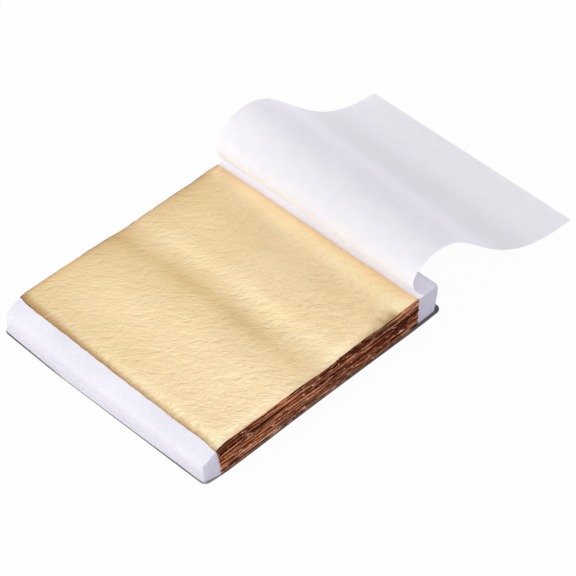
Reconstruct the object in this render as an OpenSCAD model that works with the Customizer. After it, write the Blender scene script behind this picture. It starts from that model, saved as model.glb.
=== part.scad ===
// Gold leaf booklet: square metal leaves laid between longer tissue sheets, bound at the spine
// on a backing card, with the top tissue turned back over the spine.
// Origin under the middle of the leaves on the resting face, +Y towards the spine, +Z up.

/* [Leaf] */
// Width of a metal leaf, across the booklet
leaf_w = 85; // [70:1:110]
// Length of a metal leaf, from the fore edge towards the spine
leaf_l = 80; // [70:1:110]
// Thickness of one metal leaf with its fine crinkle
leaf_t = 0.02; // [0.01:0.005:0.03]
// How far the stack of leaves dips at the fore edge
leaf_dip = 0.85; // [0.1:0.05:1]
// Length of the rounded dip at the fore edge
leaf_dip_run = 4; // [2:0.5:8]

/* [Tissue] */
// Thickness of one tissue sheet
tissue_t = 0.05; // [0.03:0.005:0.07]
// Bare tissue past the leaves at the fore edge
fore_margin = 5.5; // [3:0.5:12]
// Bare tissue past the leaves at the spine
spine_margin = 8.6; // [6:0.2:14]
// Air in each page between a leaf and its two tissues
page_air = 0.0275; // [0.02:0.0005:0.04]
// Air between two tissues at the end of the fore edge margin
fore_air = 0.012; // [0.004:0.001:0.02]
// Air and glue between two tissues at the spine
spine_air = 0.0457; // [0.03:0.0001:0.05]

/* [Backing card] */
// Thickness of the backing card
card_t = 0.6; // [0.4:0.1:2]
// How far the card stands out past the tissue all round
card_rim = 0.8; // [0.5:0.1:3]
// Corner radius of the card
card_r = 2; // [0.5:0.5:4]
// Thickness of the glue film down the spine
glue_t = 0.3; // [0.1:0.05:0.45]

/* [Pages that turn] */
// Distance from the leaves to the fold line of the top tissue
fold_inset = 2.6; // [2.4:0.1:4]
// Step of the fold line from each turning page or section to the next one down
fold_step = 0.1; // [0.06:0.01:0.12]
// Gap between a turning page and its bound strip
fold_gap = 0.02; // [0.01:0.005:0.04]

/* [Turned top tissue] */
// Angle at which the top tissue leans over the leaves from its fold line
lean = 50; // [45:1:80]
// Sideways shift of the top tissue at its free end
turned_shift = 2.6; // [-4:0.1:4]
// How late the shift grows along the sheet
turned_shift_power = 1.4; // [1:0.1:2]
// Distance from the fold line back to the crest, at the left side
crest_back_left = 9.3; // [6:0.1:14]
// Distance from the fold line back to the crest, at the right side
crest_back_right = 5.9; // [4:0.1:12]
// Height of the crest over the resting surface, at the left side
crest_h_left = 27; // [22:0.1:32]
// Height of the crest over the resting surface, at the right side
crest_h_right = 25; // [22:0.1:32]
// Reach of the leaning rise from the fold line
rise_reach = 14.5; // [8:0.1:16]
// Reach of the crest's rounding to its front, at the left side
crest_front_left = 5.4; // [3:0.1:10]
// Reach of the crest's rounding to its front, at the right side
crest_front_right = 8.1; // [3:0.1:10]
// Reach of the crest's rounding to its rear, at the left side
crest_rear_left = 16.6; // [10:0.1:20]
// Reach of the crest's rounding to its rear, at the right side
crest_rear_right = 14.4; // [10:0.1:20]
// Reach of the long hollow curve that settles the sheet on the surface
landing_reach = 29; // [20:1:32]
// Distance from the fold line back to where the sheet lies flat, at the left side
landing_back_left = 60.9; // [50:0.1:62]
// Distance from the fold line back to where the sheet lies flat, at the right side
landing_back_right = 55.8; // [50:0.1:61]
// Distance from the fold line back to the free end, at the left side
turned_back_left = 62.8; // [62.5:0.1:70]
// Distance from the fold line back to the free end, at the right side
turned_back_right = 61.7; // [61.5:0.1:70]
// Air under the sheet where it lies on the surface
turned_lift = 0.1; // [0.05:0.05:0.5]

/* [Hidden] */
// Leaves in the booklet, and how they share out into turning pages and sections
LEAVES = 100;
LAST_PAGE = 11;
SECTION = 10;
SECTIONS = 9;

// Steps along each stretch of a sheet's outline, and across the turned tissue
MARGIN_STEPS = 3;
DIP_STEPS = 3;
RISE_STEPS = 12;
FALL_STEPS = 18;
FLAT_STEPS = 2;
ACROSS_STEPS = 8;
MARGIN_POWER = 0.8;
CARD_FN = 48;

page_pitch = tissue_t + leaf_t + page_air;
stack_full = LEAVES * page_pitch;
stack_dip = stack_full - leaf_dip;
stack_fore = LEAVES * (tissue_t + fore_air);
stack_spine = LEAVES * (tissue_t + spine_air);
leaf_end = leaf_l / 2;
fore_end = leaf_end + fore_margin;
spine_end = leaf_end + spine_margin;
turned_fold_y = leaf_end + fold_inset;
turned_fold_z = level(LEAVES, turned_fold_y);

TISSUE_COLOR = "whitesmoke";
LEAF_COLOR = "goldenrod";
EDGE_COLOR = "sienna";
CARD_COLOR = "dimgray";
GLUE_COLOR = "gainsboro";

function two(n) = str(n < 10 ? "0" : "", n);
function page_name(n) = str("tissue_", two(n));
function leaf_name(n) = str("gold_leaf_", two(n));
function first_tissue(s) = LAST_PAGE + 1 + (s - 1) * SECTION;
function section_name(s) = str("tissues_", first_tissue(s), "_", first_tissue(s) + SECTION - 1);
function section_leaf_name(s) =
    str("gold_leaves_", first_tissue(s) - 1, "_", first_tissue(s) + SECTION - 2);

// Height of the whole stack over the card at a distance y from the middle of the leaves
function stack_h(y) =
    y < -leaf_end
        ? stack_fore + (stack_dip - stack_fore) * pow((y + fore_end) / fore_margin, MARGIN_POWER)
    : y < leaf_dip_run - leaf_end
        ? stack_full - leaf_dip * pow(1 - (y + leaf_end) / leaf_dip_run, 2)
    : y < leaf_end
        ? stack_full
    : stack_full + (stack_spine - stack_full) * (y - leaf_end) / spine_margin;

// Height of the underside of the tissue that has a number of leaves below it
function level(below, y) = card_t + below * stack_h(y) / LEAVES;

// Tissue n counts from the top, and so does the leaf under it
function below(n) = LEAVES + 1 - n;

// Turning pages and sections count down from the turned tissue, whose step is 0
function fold_y(step) = turned_fold_y - step * fold_step;
function page_step(n) = n - 1;
function section_step(s) = LAST_PAGE - 1 + s;

margin_ys = [for (i = [0:MARGIN_STEPS - 1]) -fore_end + i * fore_margin / MARGIN_STEPS];
dip_ys = [for (i = [0:DIP_STEPS]) -leaf_end + i * leaf_dip_run / DIP_STEPS];

// A strip of even thickness t through stations ys, with its underside at heights zs
module lying_strip(ys, zs, t, w) {
    last = len(ys) - 1;
    under = [for (i = [0:last]) [ys[i], zs[i]]];
    over = [for (i = [last:-1:0]) [ys[i], zs[i] + t]];
    translate([-w / 2, 0, 0])
        rotate([90, 0, 90])
            linear_extrude(w)
                polygon(concat(under, over));
}

// The free part of tissue n, from the fore edge to its fold line
module free_tissue(n, step) {
    ys = concat(margin_ys, dip_ys, [leaf_end, fold_y(step)]);
    lying_strip(ys, [for (y = ys) level(below(n), y)], tissue_t, leaf_w);
}

// The bound part of tissue n, from its fold line to the spine
module bound_tissue(n, step, start_gap = fold_gap) {
    ys = [fold_y(step) + start_gap, spine_end];
    lying_strip(ys, [for (y = ys) level(below(n), y)], tissue_t, leaf_w);
}

// Leaf n lies on tissue n + 1, half way up the room that the two tissues leave
module leaf(n) {
    ys = concat(dip_ys, [leaf_end]);
    zs = [
        for (y = ys)
            (level(below(n), y) + level(below(n + 1), y) + tissue_t - leaf_t) / 2
    ];
    lying_strip(ys, zs, leaf_t, leaf_w);
}

// A point on a cubic curve
function curve(a, b, c, d, t) =
    pow(1 - t, 3) * a + 3 * pow(1 - t, 2) * t * b + 3 * (1 - t) * t * t * c + pow(t, 3) * d;

// A size of the turned tissue at a share v of its width, from the left side to the right
function mix(left, right, v) = left * (1 - v) + right * v;

// Outline of the turned tissue's outer face at a share v of its width, as [back, height]
function turned_outline(v) =
    let (
        ground = tissue_t + turned_lift,
        fold = [0, turned_fold_z],
        rise = fold + rise_reach * [-cos(lean), sin(lean)],
        crest = [
            mix(crest_back_left, crest_back_right, v),
            mix(crest_h_left, crest_h_right, v)
        ],
        front = crest - [mix(crest_front_left, crest_front_right, v), 0],
        rear = crest + [mix(crest_rear_left, crest_rear_right, v), 0],
        landing = [mix(landing_back_left, landing_back_right, v), ground],
        settle = landing - [landing_reach, 0],
        tip = [mix(turned_back_left, turned_back_right, v), ground]
    )
    concat(
        [for (i = [0:RISE_STEPS]) curve(fold, rise, front, crest, i / RISE_STEPS)],
        [for (i = [1:FALL_STEPS]) curve(crest, rear, settle, landing, i / FALL_STEPS)],
        [for (i = [1:FLAT_STEPS]) landing + (tip - landing) * i / FLAT_STEPS]
    );

// Unit normal on the inner side of an outline at point i
function inward(line, i) =
    let (
        ahead = line[min(i + 1, len(line) - 1)],
        behind = line[max(i - 1, 0)],
        along = (ahead - behind) / norm(ahead - behind)
    )
    i == 0 ? [1, 0] : [along[1], -along[0]];

// Length along an outline from its start to point i
function run(line, i) = i == 0 ? 0 : run(line, i - 1) + norm(line[i] - line[i - 1]);

// Points first to last of one line down the turned tissue, pushed in by a depth.
// The first point stands back by a gap.
function turned_line(v, depth, first, last, gap) =
    let (line = turned_outline(v), full = run(line, len(line) - 1))
    [
        for (i = [first:last])
            let (
                p = line[i] + depth * inward(line, i) + (i == first ? [gap, 0] : [0, 0]),
                shift = turned_shift * pow(run(line, i) / full, turned_shift_power)
            )
            [leaf_w * (v - 0.5) + shift, turned_fold_y + p[0], p[1]]
    ];

// A stretch of the turned tissue between two points of its outline
module turned_stretch(first, last, gap = 0) {
    shares = [for (j = [0:ACROSS_STEPS]) j / ACROSS_STEPS];
    outer = [for (v = shares) each turned_line(v, 0, first, last, gap)];
    inner = [for (v = shares) each turned_line(v, tissue_t, first, last, gap)];
    rows = last - first + 1;
    half = len(outer);
    function at(j, i) = j * rows + i;
    skins = [
        for (j = [0:ACROSS_STEPS - 1], i = [0:rows - 2])
            let (a = at(j, i), b = at(j + 1, i))
            each [
                [a, a + 1, b + 1],
                [a, b + 1, b],
                [half + a, half + b + 1, half + a + 1],
                [half + a, half + b, half + b + 1]
            ]
    ];
    sides = [
        for (i = [0:rows - 2])
            let (a = at(0, i), b = at(ACROSS_STEPS, i))
            each [
                [a, half + a, half + a + 1],
                [a, half + a + 1, a + 1],
                [b, b + 1, half + b + 1],
                [b, half + b + 1, half + b]
            ]
    ];
    ends = [
        for (j = [0:ACROSS_STEPS - 1])
            let (a = at(j, 0), b = at(j, rows - 1))
            each [
                [a, a + rows, half + a + rows],
                [a, half + a + rows, half + a],
                [b, half + b + rows, b + rows],
                [b, half + b, half + b + rows]
            ]
    ];
    polyhedron(concat(outer, inner), concat(skins, sides, ends));
}

// The top tissue from its fold line up to the crest line
module turned_tissue_loop() {
    color(TISSUE_COLOR)
        turned_stretch(0, RISE_STEPS);
}

// The top tissue from the crest line down to the surface behind
module turned_tissue_tail() {
    color(TISSUE_COLOR)
        turned_stretch(RISE_STEPS, RISE_STEPS + FALL_STEPS + FLAT_STEPS, fold_gap);
}

module backing_card() {
    half_w = leaf_w / 2 + card_rim;
    near = -fore_end - card_rim;
    far = spine_end + card_rim;
    color(CARD_COLOR)
        linear_extrude(card_t) {
            translate([-half_w, near + card_r])
                square([2 * half_w, far - near - 2 * card_r]);
            translate([-half_w + card_r, near])
                square([2 * (half_w - card_r), far - near]);
            for (x = [-half_w + card_r, half_w - card_r], y = [near + card_r, far - card_r])
                translate([x, y])
                    circle(card_r, $fn = CARD_FN);
        }
}

module spine_glue() {
    color(GLUE_COLOR)
        translate([-leaf_w / 2, spine_end, card_t])
            cube([leaf_w, glue_t, stack_spine + tissue_t]);
}

module bound_strips_upper() {
    color(TISSUE_COLOR) {
        bound_tissue(1, 0, tissue_t + fold_gap);
        for (n = [2:LAST_PAGE])
            bound_tissue(n, page_step(n));
    }
}

module bound_strips_lower() {
    color(TISSUE_COLOR)
        for (s = [1:SECTIONS], i = [0:SECTION - 1])
            bound_tissue(first_tissue(s) + i, section_step(s));
}

module page(n) {
    color(TISSUE_COLOR)
        free_tissue(n, page_step(n));
}

module page_leaf(n) {
    color(LEAF_COLOR)
        leaf(n);
}

module section_tissues(s) {
    color(TISSUE_COLOR)
        for (i = [0:SECTION - 1])
            free_tissue(first_tissue(s) + i, section_step(s));
}

module section_leaves(s) {
    color(EDGE_COLOR)
        for (i = [0:SECTION - 1])
            leaf(first_tissue(s) + i - 1);
}

backing_card();
spine_glue();
bound_strips_upper();
bound_strips_lower();
turned_tissue_loop();
turned_tissue_tail();
for (n = [2:LAST_PAGE]) page(n);
for (n = [1:LAST_PAGE - 1]) page_leaf(n);
for (s = [1:SECTIONS]) section_tissues(s);
for (s = [1:SECTIONS]) section_leaves(s);
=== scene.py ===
import math

import bpy
import numpy as np
from bpy.props import FloatProperty, FloatVectorProperty, PointerProperty
from mathutils import Matrix, Vector


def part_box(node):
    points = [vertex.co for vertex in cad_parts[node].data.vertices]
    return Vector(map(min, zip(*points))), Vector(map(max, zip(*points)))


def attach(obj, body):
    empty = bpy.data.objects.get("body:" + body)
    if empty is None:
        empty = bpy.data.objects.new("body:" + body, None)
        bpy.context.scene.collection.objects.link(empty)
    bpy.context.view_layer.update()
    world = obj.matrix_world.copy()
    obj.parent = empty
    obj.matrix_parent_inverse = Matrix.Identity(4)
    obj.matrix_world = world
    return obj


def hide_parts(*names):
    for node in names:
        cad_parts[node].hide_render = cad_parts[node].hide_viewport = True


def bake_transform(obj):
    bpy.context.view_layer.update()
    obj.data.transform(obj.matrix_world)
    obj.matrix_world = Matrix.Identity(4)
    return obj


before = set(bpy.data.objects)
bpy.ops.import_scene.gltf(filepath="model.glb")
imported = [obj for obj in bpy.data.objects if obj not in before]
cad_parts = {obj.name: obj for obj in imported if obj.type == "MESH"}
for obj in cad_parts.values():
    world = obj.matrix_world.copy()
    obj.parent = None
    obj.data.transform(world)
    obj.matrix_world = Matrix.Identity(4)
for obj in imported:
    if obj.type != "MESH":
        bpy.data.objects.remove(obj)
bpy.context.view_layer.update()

bl_info = {
    "name": "Gold Leaf Booklet",
    "version": (1, 0, 0),
    "blender": (4, 5, 0),
    "location": "3D View > Sidebar > Booklet",
    "description": "Dresses a booklet of metal leaves and tissue over its construction model",
    "category": "Object",
}

MM = 0.001


def corners_mm(node):
    """Lowest and highest corner of a construction node, in millimetres."""
    low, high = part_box(node)
    return np.array(low) / MM, np.array(high) / MM


# How the leaves and tissues share out, counted from the top
LEAVES = 100
LAST_PAGE = 11
SECTION = 10
SECTIONS = 9

# Sizes of the construction model, in millimetres
HALF_W, LEAF_END = corners_mm("gold_leaf_01")[1][:2]
FORE_END = -corners_mm("tissue_02")[0][1]
SPINE_END = corners_mm("bound_strips_upper")[1][1]
CARD_LOW, CARD_HIGH = corners_mm("backing_card")
GLUE_LOW, GLUE_HIGH = corners_mm("spine_glue")
CARD_TOP = CARD_HIGH[2]
LEAF_T = 0.02
TISSUE_T = 0.05
STACK_FULL = 9.75
LEAF_DIP = 0.85
DIP_RUN = 4.0
STACK_FORE = 6.2
STACK_SPINE = GLUE_HIGH[2] - CARD_TOP - TISSUE_T
MARGIN_POWER = 0.8
FOLD_Y = LEAF_END + 2.6
FOLD_STEP = 0.1
FOLD_GAP = 0.02

# Wear and trim of the dressed sheets, in millimetres: the rounding and droop of the block's spine corner,
# how far the glue film stops short of the sides, the width of a sheet's rim, and its worn corners
SPINE_ROUND = 1.2
SPINE_DROOP = 0.45
FILM_INSET = 0.9
RIM = 0.3
CORNER = 0.6


# Meshes


def pick(obj):
    """Leaves only obj selected and active."""
    bpy.ops.object.select_all(action="DESELECT")
    obj.select_set(True)
    bpy.context.view_layer.objects.active = obj


def apply_modifiers(obj):
    """Turns an object's modifiers into mesh."""
    pick(obj)
    for modifier in list(obj.modifiers):
        bpy.ops.object.modifier_apply(modifier=modifier.name)


def points_of(obj):
    """A mesh's points, one to a row."""
    points = np.zeros(len(obj.data.vertices) * 3, np.float32)
    obj.data.vertices.foreach_get("co", points)
    return points.reshape(-1, 3).astype(float)


def place_points(obj, points_mm):
    obj.data.vertices.foreach_set("co", (points_mm * MM).astype(np.float32).ravel())
    obj.data.update()


def attach_values(obj, **values):
    """Writes numbers for each vertex, which a material reads by their names."""
    for name, value in values.items():
        attribute = obj.data.attributes.new(name, "FLOAT", "POINT")
        whole = np.broadcast_to(value, len(obj.data.vertices))
        attribute.data.foreach_set("value", whole.astype(np.float32))


def grid_pile(name, columns, rows, count=1):
    """A pile of count flat grids, with each vertex's column, row and sheet number."""
    bpy.ops.mesh.primitive_grid_add(x_subdivisions=columns, y_subdivisions=rows, size=1)
    obj = bpy.context.active_object
    obj.name = obj.data.name = name
    if count > 1:
        pile = obj.modifiers.new("pile", "ARRAY")
        pile.use_relative_offset = False
        pile.use_constant_offset = True
        pile.constant_offset_displace = (0, 0, 1)
        pile.count = count
        apply_modifiers(obj)
    points = points_of(obj)
    column = np.rint((points[:, 0] + 0.5) * columns).astype(int)
    row = np.rint((points[:, 1] + 0.5) * rows).astype(int)
    return obj, column, row, np.rint(points[:, 2]).astype(int)


def thicken(obj, thickness_mm, offset):
    """Gives a sheet its thickness: above it at 1, on both sides at 0, below it at -1."""
    wall = obj.modifiers.new("wall", "SOLIDIFY")
    wall.thickness = thickness_mm * MM
    wall.offset = offset
    apply_modifiers(obj)


def finish_piece(obj, slot, nodes, body=None):
    """Gives a piece its slot and material, the nodes that it replaces and the body that it moves with."""
    obj.data.materials.append(material_for(slot))
    pick(obj)
    bpy.ops.object.shade_smooth_by_angle(angle=math.radians(40))
    if body:
        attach(obj, body)
    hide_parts(*nodes)


def smooth_step(values, low, high):
    """Rises from 0 at low to 1 at high."""
    share = np.clip((values - low) / (high - low), 0, 1)
    return share * share * (3 - 2 * share)


def noise_at(u, v, seed):
    """Smooth noise from -1 to 1, with a cell of 1."""
    side = 64
    table = np.random.default_rng(seed).uniform(-1, 1, (side, side))
    u, v = np.broadcast_arrays(np.asarray(u, float), np.asarray(v, float))
    cell_u, cell_v = np.floor(u).astype(int), np.floor(v).astype(int)
    part_u, part_v = smooth_step(u - cell_u, 0, 1), smooth_step(v - cell_v, 0, 1)
    left, right = cell_u % side, (cell_u + 1) % side
    low, high = cell_v % side, (cell_v + 1) % side
    near = table[left, low] * (1 - part_u) + table[right, low] * part_u
    far = table[left, high] * (1 - part_u) + table[right, high] * part_u
    return near * (1 - part_v) + far * part_v


def bump_at(values, middle, half_width):
    """A smooth bump, 1 high at its middle."""
    return np.exp(-(((values - middle) / half_width) ** 2))


def bumps(values, table):
    """The sum of bumps that are given as (middle, half width, height)."""
    return sum(height * bump_at(values, middle, half_width) for middle, half_width, height in table)


# The shape of the stack, in millimetres


def stack_height(y):
    """Height of the whole stack over the card at a distance y from the middle of the leaves."""
    margin = np.clip((y + FORE_END) / (FORE_END - LEAF_END), 0, 1) ** MARGIN_POWER
    fore = STACK_FORE + (STACK_FULL - LEAF_DIP - STACK_FORE) * margin
    dip = STACK_FULL - LEAF_DIP * np.clip(1 - (y + LEAF_END) / DIP_RUN, 0, 1) ** 2
    spine = STACK_FULL + (STACK_SPINE - STACK_FULL) * (y - LEAF_END) / (SPINE_END - LEAF_END)
    return np.where(y < -LEAF_END, fore, np.where(y < LEAF_END, dip, spine))


# Low folds across the whole booklet, and the painted light and shade of the leaf in them, as (place along
# it, half width, height)
FOLDS = ((-24.0, 10.0, 0.10), (1.5, 5.0, -0.42), (15.0, 6.0, 0.12), (27.0, 5.0, -0.14), (36.0, 3.0, 0.20))
FOLD_PAINTED_LIGHT = ((-22.0, 9.0, 0.04), (-8.5, 4.0, -0.05), (-1.6, 3.8, -0.18), (8.0, 3.4, 0.10), (25.0, 5.0, -0.04))
# The folds and their painted light run a little askew: the shift along the booklet for each millimetre
# across it
FOLD_SLANT = 0.012


def swell(x, y):
    """Height of the low folds that run across the booklet."""
    wander = 1.2 * noise_at(x / 26, y / 40, 11) - FOLD_SLANT * x
    return bumps(y + wander, FOLDS) * (1 + 0.25 * noise_at(x / 19, y / 23, 12))


def painted_leaf_light(x, y):
    """Painted light and shade of the leaf, as a share more or less: bands in its low folds, highlights and
    shade at its edges, and faint random clouds.
    """
    from_right = HALF_W - x
    wander = noise_at(x / 20, y / 40, 11) - FOLD_SLANT * x
    # Painted light and shade: bands in the low folds, a sheen near the spine edge, shade in two dents at the
    # right, highlights along the fore and right edges, shade along the left edge and light that grows
    # towards the right
    folds = bumps(y + wander, FOLD_PAINTED_LIGHT) * (1 + 0.35 * noise_at(x / 14, y / 16, 13))
    clouds = 0.025 * noise_at(x / 9, y / 7, 14)
    painted_rear_sheen = 0.28 * bump_at(y + 0.04 * x, 36.0, 3.8)
    dents = 0.8 * bump_at(y, 27.6 - 0.5 * from_right, 1.3) + 1.1 * bump_at(y, 30.4, 1.6)
    dents = -0.46 * dents * (1 - smooth_step(from_right, 1.4, 3.4))
    painted_fore_highlight = (0.04 + 0.13 * smooth_step(x, -24, 12)) * bump_at(y, -LEAF_END + 2.4, 1.5)
    even = (1 - bump_at(y, 24, 9)) * (1 - 0.9 * bump_at(y, -6, 8)) * (1 + 0.6 * smooth_step(-y, 18, 30))
    painted_right_highlight = 0.14 * even * bump_at(from_right, 1.7, 1.9)
    painted_left_shade = smooth_step(-x, 26, 40) * smooth_step(y, -30, -10) * (1 + 1.2 * smooth_step(y, 30, 36))
    painted_light_to_right = 0.075 * x / HALF_W
    return folds + clouds + painted_rear_sheen + dents + painted_fore_highlight + painted_right_highlight - 0.05 * painted_left_shade + painted_light_to_right


def edge_shade(x, y, past_start):
    """Painted shade of the leaf where it turns down at its edges, most at the left."""
    from_left, from_right = HALF_W + x, HALF_W - x
    run = 1.65 + 1.3 * (1 - smooth_step(x, -38, -8))
    depth = 1.0 - 0.30 * smooth_step(x, -14, 20) + 0.12 * noise_at(x / 5, 0.5, 15)
    fore = depth * np.clip(1 - past_start / run, 0, 1)
    left = 0.72 * np.exp(-from_left / (1.3 + 0.8 * smooth_step(y, -18, -4)))
    right = 0.7 * np.exp(-from_right / 0.8) * smooth_step(y, 13, 19) * (1 - smooth_step(y, 30, 35))
    right = right + 0.6 * np.exp(-from_right / 0.6) * bump_at(y, -30, 5)
    return 1 - (1 - fore) * (1 - left) * (1 - right)


def side_droop(x, y):
    """How far the sheets at the top of the stack sag at its two sides, with two dents at the right."""
    from_side = HALF_W - np.abs(x)
    right = 0.34 - 0.24 * smooth_step(y, 6, 20) + 0.1 * bump_at(y, 2, 6)
    left = 0.16 - 0.16 * smooth_step(y, 26, 36) + bumps(y, ((12, 9, 0.42), (-LEAF_END, 4, -0.25)))
    rolled = np.where(x > 0, right, left) * np.clip(1 - from_side / 3.6, 0, 1) ** 1.6
    dents = bumps(y, ((29.5, 2.6, 0.4), (24.5, 2.0, 0.3))) * smooth_step(x, HALF_W - 2.4, HALF_W) ** 1.5
    return rolled + dents


# How far the foot of the stack and the card stand out at the right and at the fore edge, as stations
# along the edge and the reach at each of them
RIGHT_FOOT = (
    (-45.5, -43, -40, -36, -27, -11, 5, 33, 38, 41, 48.6),
    (0, 0.55, 1.2, 1.4, 1.1, 0.85, 0.7, 0.6, 0.3, 0, -0.2),
)
FORE_FOOT = ((-42.5, -20, 0.5, 22, 31, 39, 42.5), (0.6, 1.45, 1.2, 0.66, 0.5, 0.22, 0.05))
RIGHT_CARD = ((-46.3, -40, -27, -11, 5, 37, 42, 49.4), (0, 0.6, 0.5, 0.2, 0.1, 0.13, 0.05, -0.2))
FORE_CARD = ((-43.3, -20, 0.5, 22, 31, 39, 43.3), (0.14, 0.56, 0.25, -0.08, -0.2, -0.35, -0.3))


def spine_droop(share, y):
    """How far the ends of the upper sheets sink at the spine, which rounds the block's outer corner."""
    return SPINE_DROOP * np.clip(1 + (y - SPINE_END) / SPINE_ROUND, 0, 1) ** 2 * share**5


def foot_shift(below, x, y):
    """Sideways and endways shift of a sheet: the stack leans out towards its foot."""
    drop = 1 - below / LEAVES
    across = drop * np.interp(y, *RIGHT_FOOT) * (0.75 + 0.25 * x / HALF_W)
    near_end = 1 - smooth_step(y, -FORE_END, -LEAF_END + 1.5)
    return across, -drop * np.interp(x, *FORE_FOOT) * near_end


def clumped(below, y):
    """Sheets at the sides gather in clumps: the place of a sheet in the stack, in sheets."""
    share = below / LEAVES
    coarse = np.sin(2 * math.pi * (11 * share + 0.35 * noise_at(y / 18, 0.5, 21)))
    fine = np.sin(2 * math.pi * (19 * share + 0.4 * noise_at(y / 11, 0.5, 22)))
    ends = np.sqrt(np.clip(4 * share * (1 - share), 0, 1))
    return below + 0.5 * (coarse + 0.6 * fine) * ends


def sheet_height(below, x, y):
    """Height of the underside of the tissue that has a number of leaves below it."""
    side = bump_at(np.abs(x), HALF_W, 2.5)
    place = below + side * (clumped(below, y) - below)
    share = below / LEAVES
    rise = swell(x, y) * share**3 - side_droop(x, y) * np.clip((share - 0.6) / 0.4, 0, 1) ** 2
    rise = rise - spine_droop(share, y)
    return CARD_TOP + place * stack_height(y) / LEAVES + rise


def leaf_span(below, x):
    """Where the leaf on the tissue below starts and ends along the booklet."""
    share = below / LEAVES
    tooth = (share * 8 + 0.3 * noise_at(share * 11, 0.5, 33)) % 1
    tooth = (0.55 + 0.35 * noise_at(share * 8, 0.5, 34)) * tooth * (1 - share**8)
    bowed = 0.28 * (bump_at(x, 12, 26) + bump_at(x, HALF_W, 4)) - 0.5 * bump_at(x, -HALF_W, 2.5)
    start = -LEAF_END + 0.15 * (1 - share) + tooth - bowed
    end = LEAF_END - 0.3 * (1 - share) + 0.22 * np.sin(2 * math.pi * 4 * share) * (1 - share**6)
    return start, end + 0.35 * smooth_step(x, HALF_W - 4, HALF_W) * share


def spine_reach(below):
    """The far end of the sheets: the lower ones stop a little short."""
    return SPINE_END - 1.5 * (1 - below / LEAVES) ** 1.8


# Ledges where a few sheets stand out of a side, as (share of the height, from y, to y, reach), with the
# half width of a ledge as a share of the height, and the reach at which its edge is fully pale
LEDGE_WIDTH = 0.013
LEDGE_PALE = 0.28
RIGHT_LEDGES = (
    (0.69, -8, 44, 0.26),
    (0.79, -37, -14, 0.18),
    (0.55, -44, -2, 0.20),
    (0.37, -20, 24, 0.16),
    (0.22, -44, 30, 0.18),
    (0.90, 20, 44, 0.16),
    (0.96, 14, 43, 0.14),
    (0.10, -30, 8, 0.16),
)
LEFT_LEDGES = (
    (0.74, -44, 10, 0.22),
    (0.48, -12, 44, 0.20),
    (0.30, -40, 0, 0.18),
    (0.15, -10, 40, 0.18),
)


def ledge(below, y, ledges, seed):
    """How far a sheet stands out, and how pale its edge is there."""
    share = below / LEAVES
    reach = pale = np.zeros(np.broadcast(below, y).shape)
    for number, (height, start, end, size) in enumerate(ledges):
        wander = 0.012 * noise_at(y / 12, number + 0.5, seed)
        window = smooth_step(y, start, start + 6) * (1 - smooth_step(y, end - 6, end))
        window = window * (0.75 + 0.25 * noise_at(y / 2.2, number + 0.5, seed + 1))
        line = window * bump_at(share - wander, height, LEDGE_WIDTH)
        reach = np.maximum(reach, size * line)
        pale = np.maximum(pale, line**2 * size / LEDGE_PALE)
    return np.stack([reach, np.clip(pale, 0, 1)])


def side_reach(below, x, y):
    """How far a sheet stands out at its side, and how much of that is a pale ledge."""
    right = ledge(below, y, RIGHT_LEDGES, 31)
    left = ledge(below, y, LEFT_LEDGES, 38)
    stands, pale = np.where(x > 0, right, left)
    ragged = 0.06 * noise_at(y / 2.6, below * 0.93, 33) + 0.07 * noise_at(y / 9, below * 0.31, 34)
    torn = 0.10 * (x > 0) * bump_at(y, 4, 7) * noise_at(y / 0.9, below * 0.5, 35)
    loose = 0.06 * noise_at(y / 8, below * 0.7, 36)
    near = smooth_step(np.abs(x), HALF_W - 2.2, HALF_W)
    # 1 where the leaves lie, 0 in the bare margins
    cover = 1 - smooth_step(np.abs(y), LEAF_END - 1, LEAF_END + 0.5)
    reach = cover * (stands + ragged + torn) + loose - corner_cut(below, y)
    return np.sign(x) * near * reach, near * cover * pale


# Stations across and along a sheet, in millimetres
SIDE_STEPS = np.array([0, 0.3, 1.0, 2.2, 4.5])
SIDE_STATIONS = np.concatenate([-HALF_W + SIDE_STEPS, [-14, 14], (HALF_W - SIDE_STEPS)[::-1]])
FORE_STATIONS = -FORE_END + np.array([0, 0.25, 0.8, 1.7, 2.8, 4, 5])
COVER_STEPS = np.array([0, 0.6, 1.3, 2.2, 3.2])
COVER_STATIONS = np.concatenate(
    [-LEAF_END + COVER_STEPS, np.linspace(-LEAF_END + 4.4, LEAF_END - 1, 56), [LEAF_END]]
)
STRIP_SHARES = np.array([0, 0.25, 0.5, 0.7, 0.8, 0.87, 0.92, 0.96, 0.985, 1.0])


def corner_cut(below, y):
    """How far a sheet's corners are worn in at its two ends."""
    worn = CORNER * (1 + 0.5 * noise_at(below * 0.3, 0.5, 36))
    near = np.maximum(1 + (y - spine_reach(below)) / worn, 1 - (y + FORE_END) / worn)
    return worn * (1 - np.sqrt(1 - np.clip(near, 0, 1) ** 2))


def along_stations(stations, index):
    """The station that each index stands for."""
    return np.interp(index, np.arange(len(stations)), stations)


def fold_line(number):
    """Where a tissue folds: one step short of the one above it for each page, and then for each section."""
    step = np.where(number <= LAST_PAGE, number - 1, LAST_PAGE + (number - LAST_PAGE - 1) // SECTION)
    return FOLD_Y - step * FOLD_STEP


def fine_stations(count):
    """Stations across a sheet that is seen from above."""
    middle = np.linspace(-HALF_W + SIDE_STEPS[-1], HALF_W - SIDE_STEPS[-1], count)
    return np.concatenate([-HALF_W + SIDE_STEPS[:-1], middle, (HALF_W - SIDE_STEPS[:-1])[::-1]])


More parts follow.
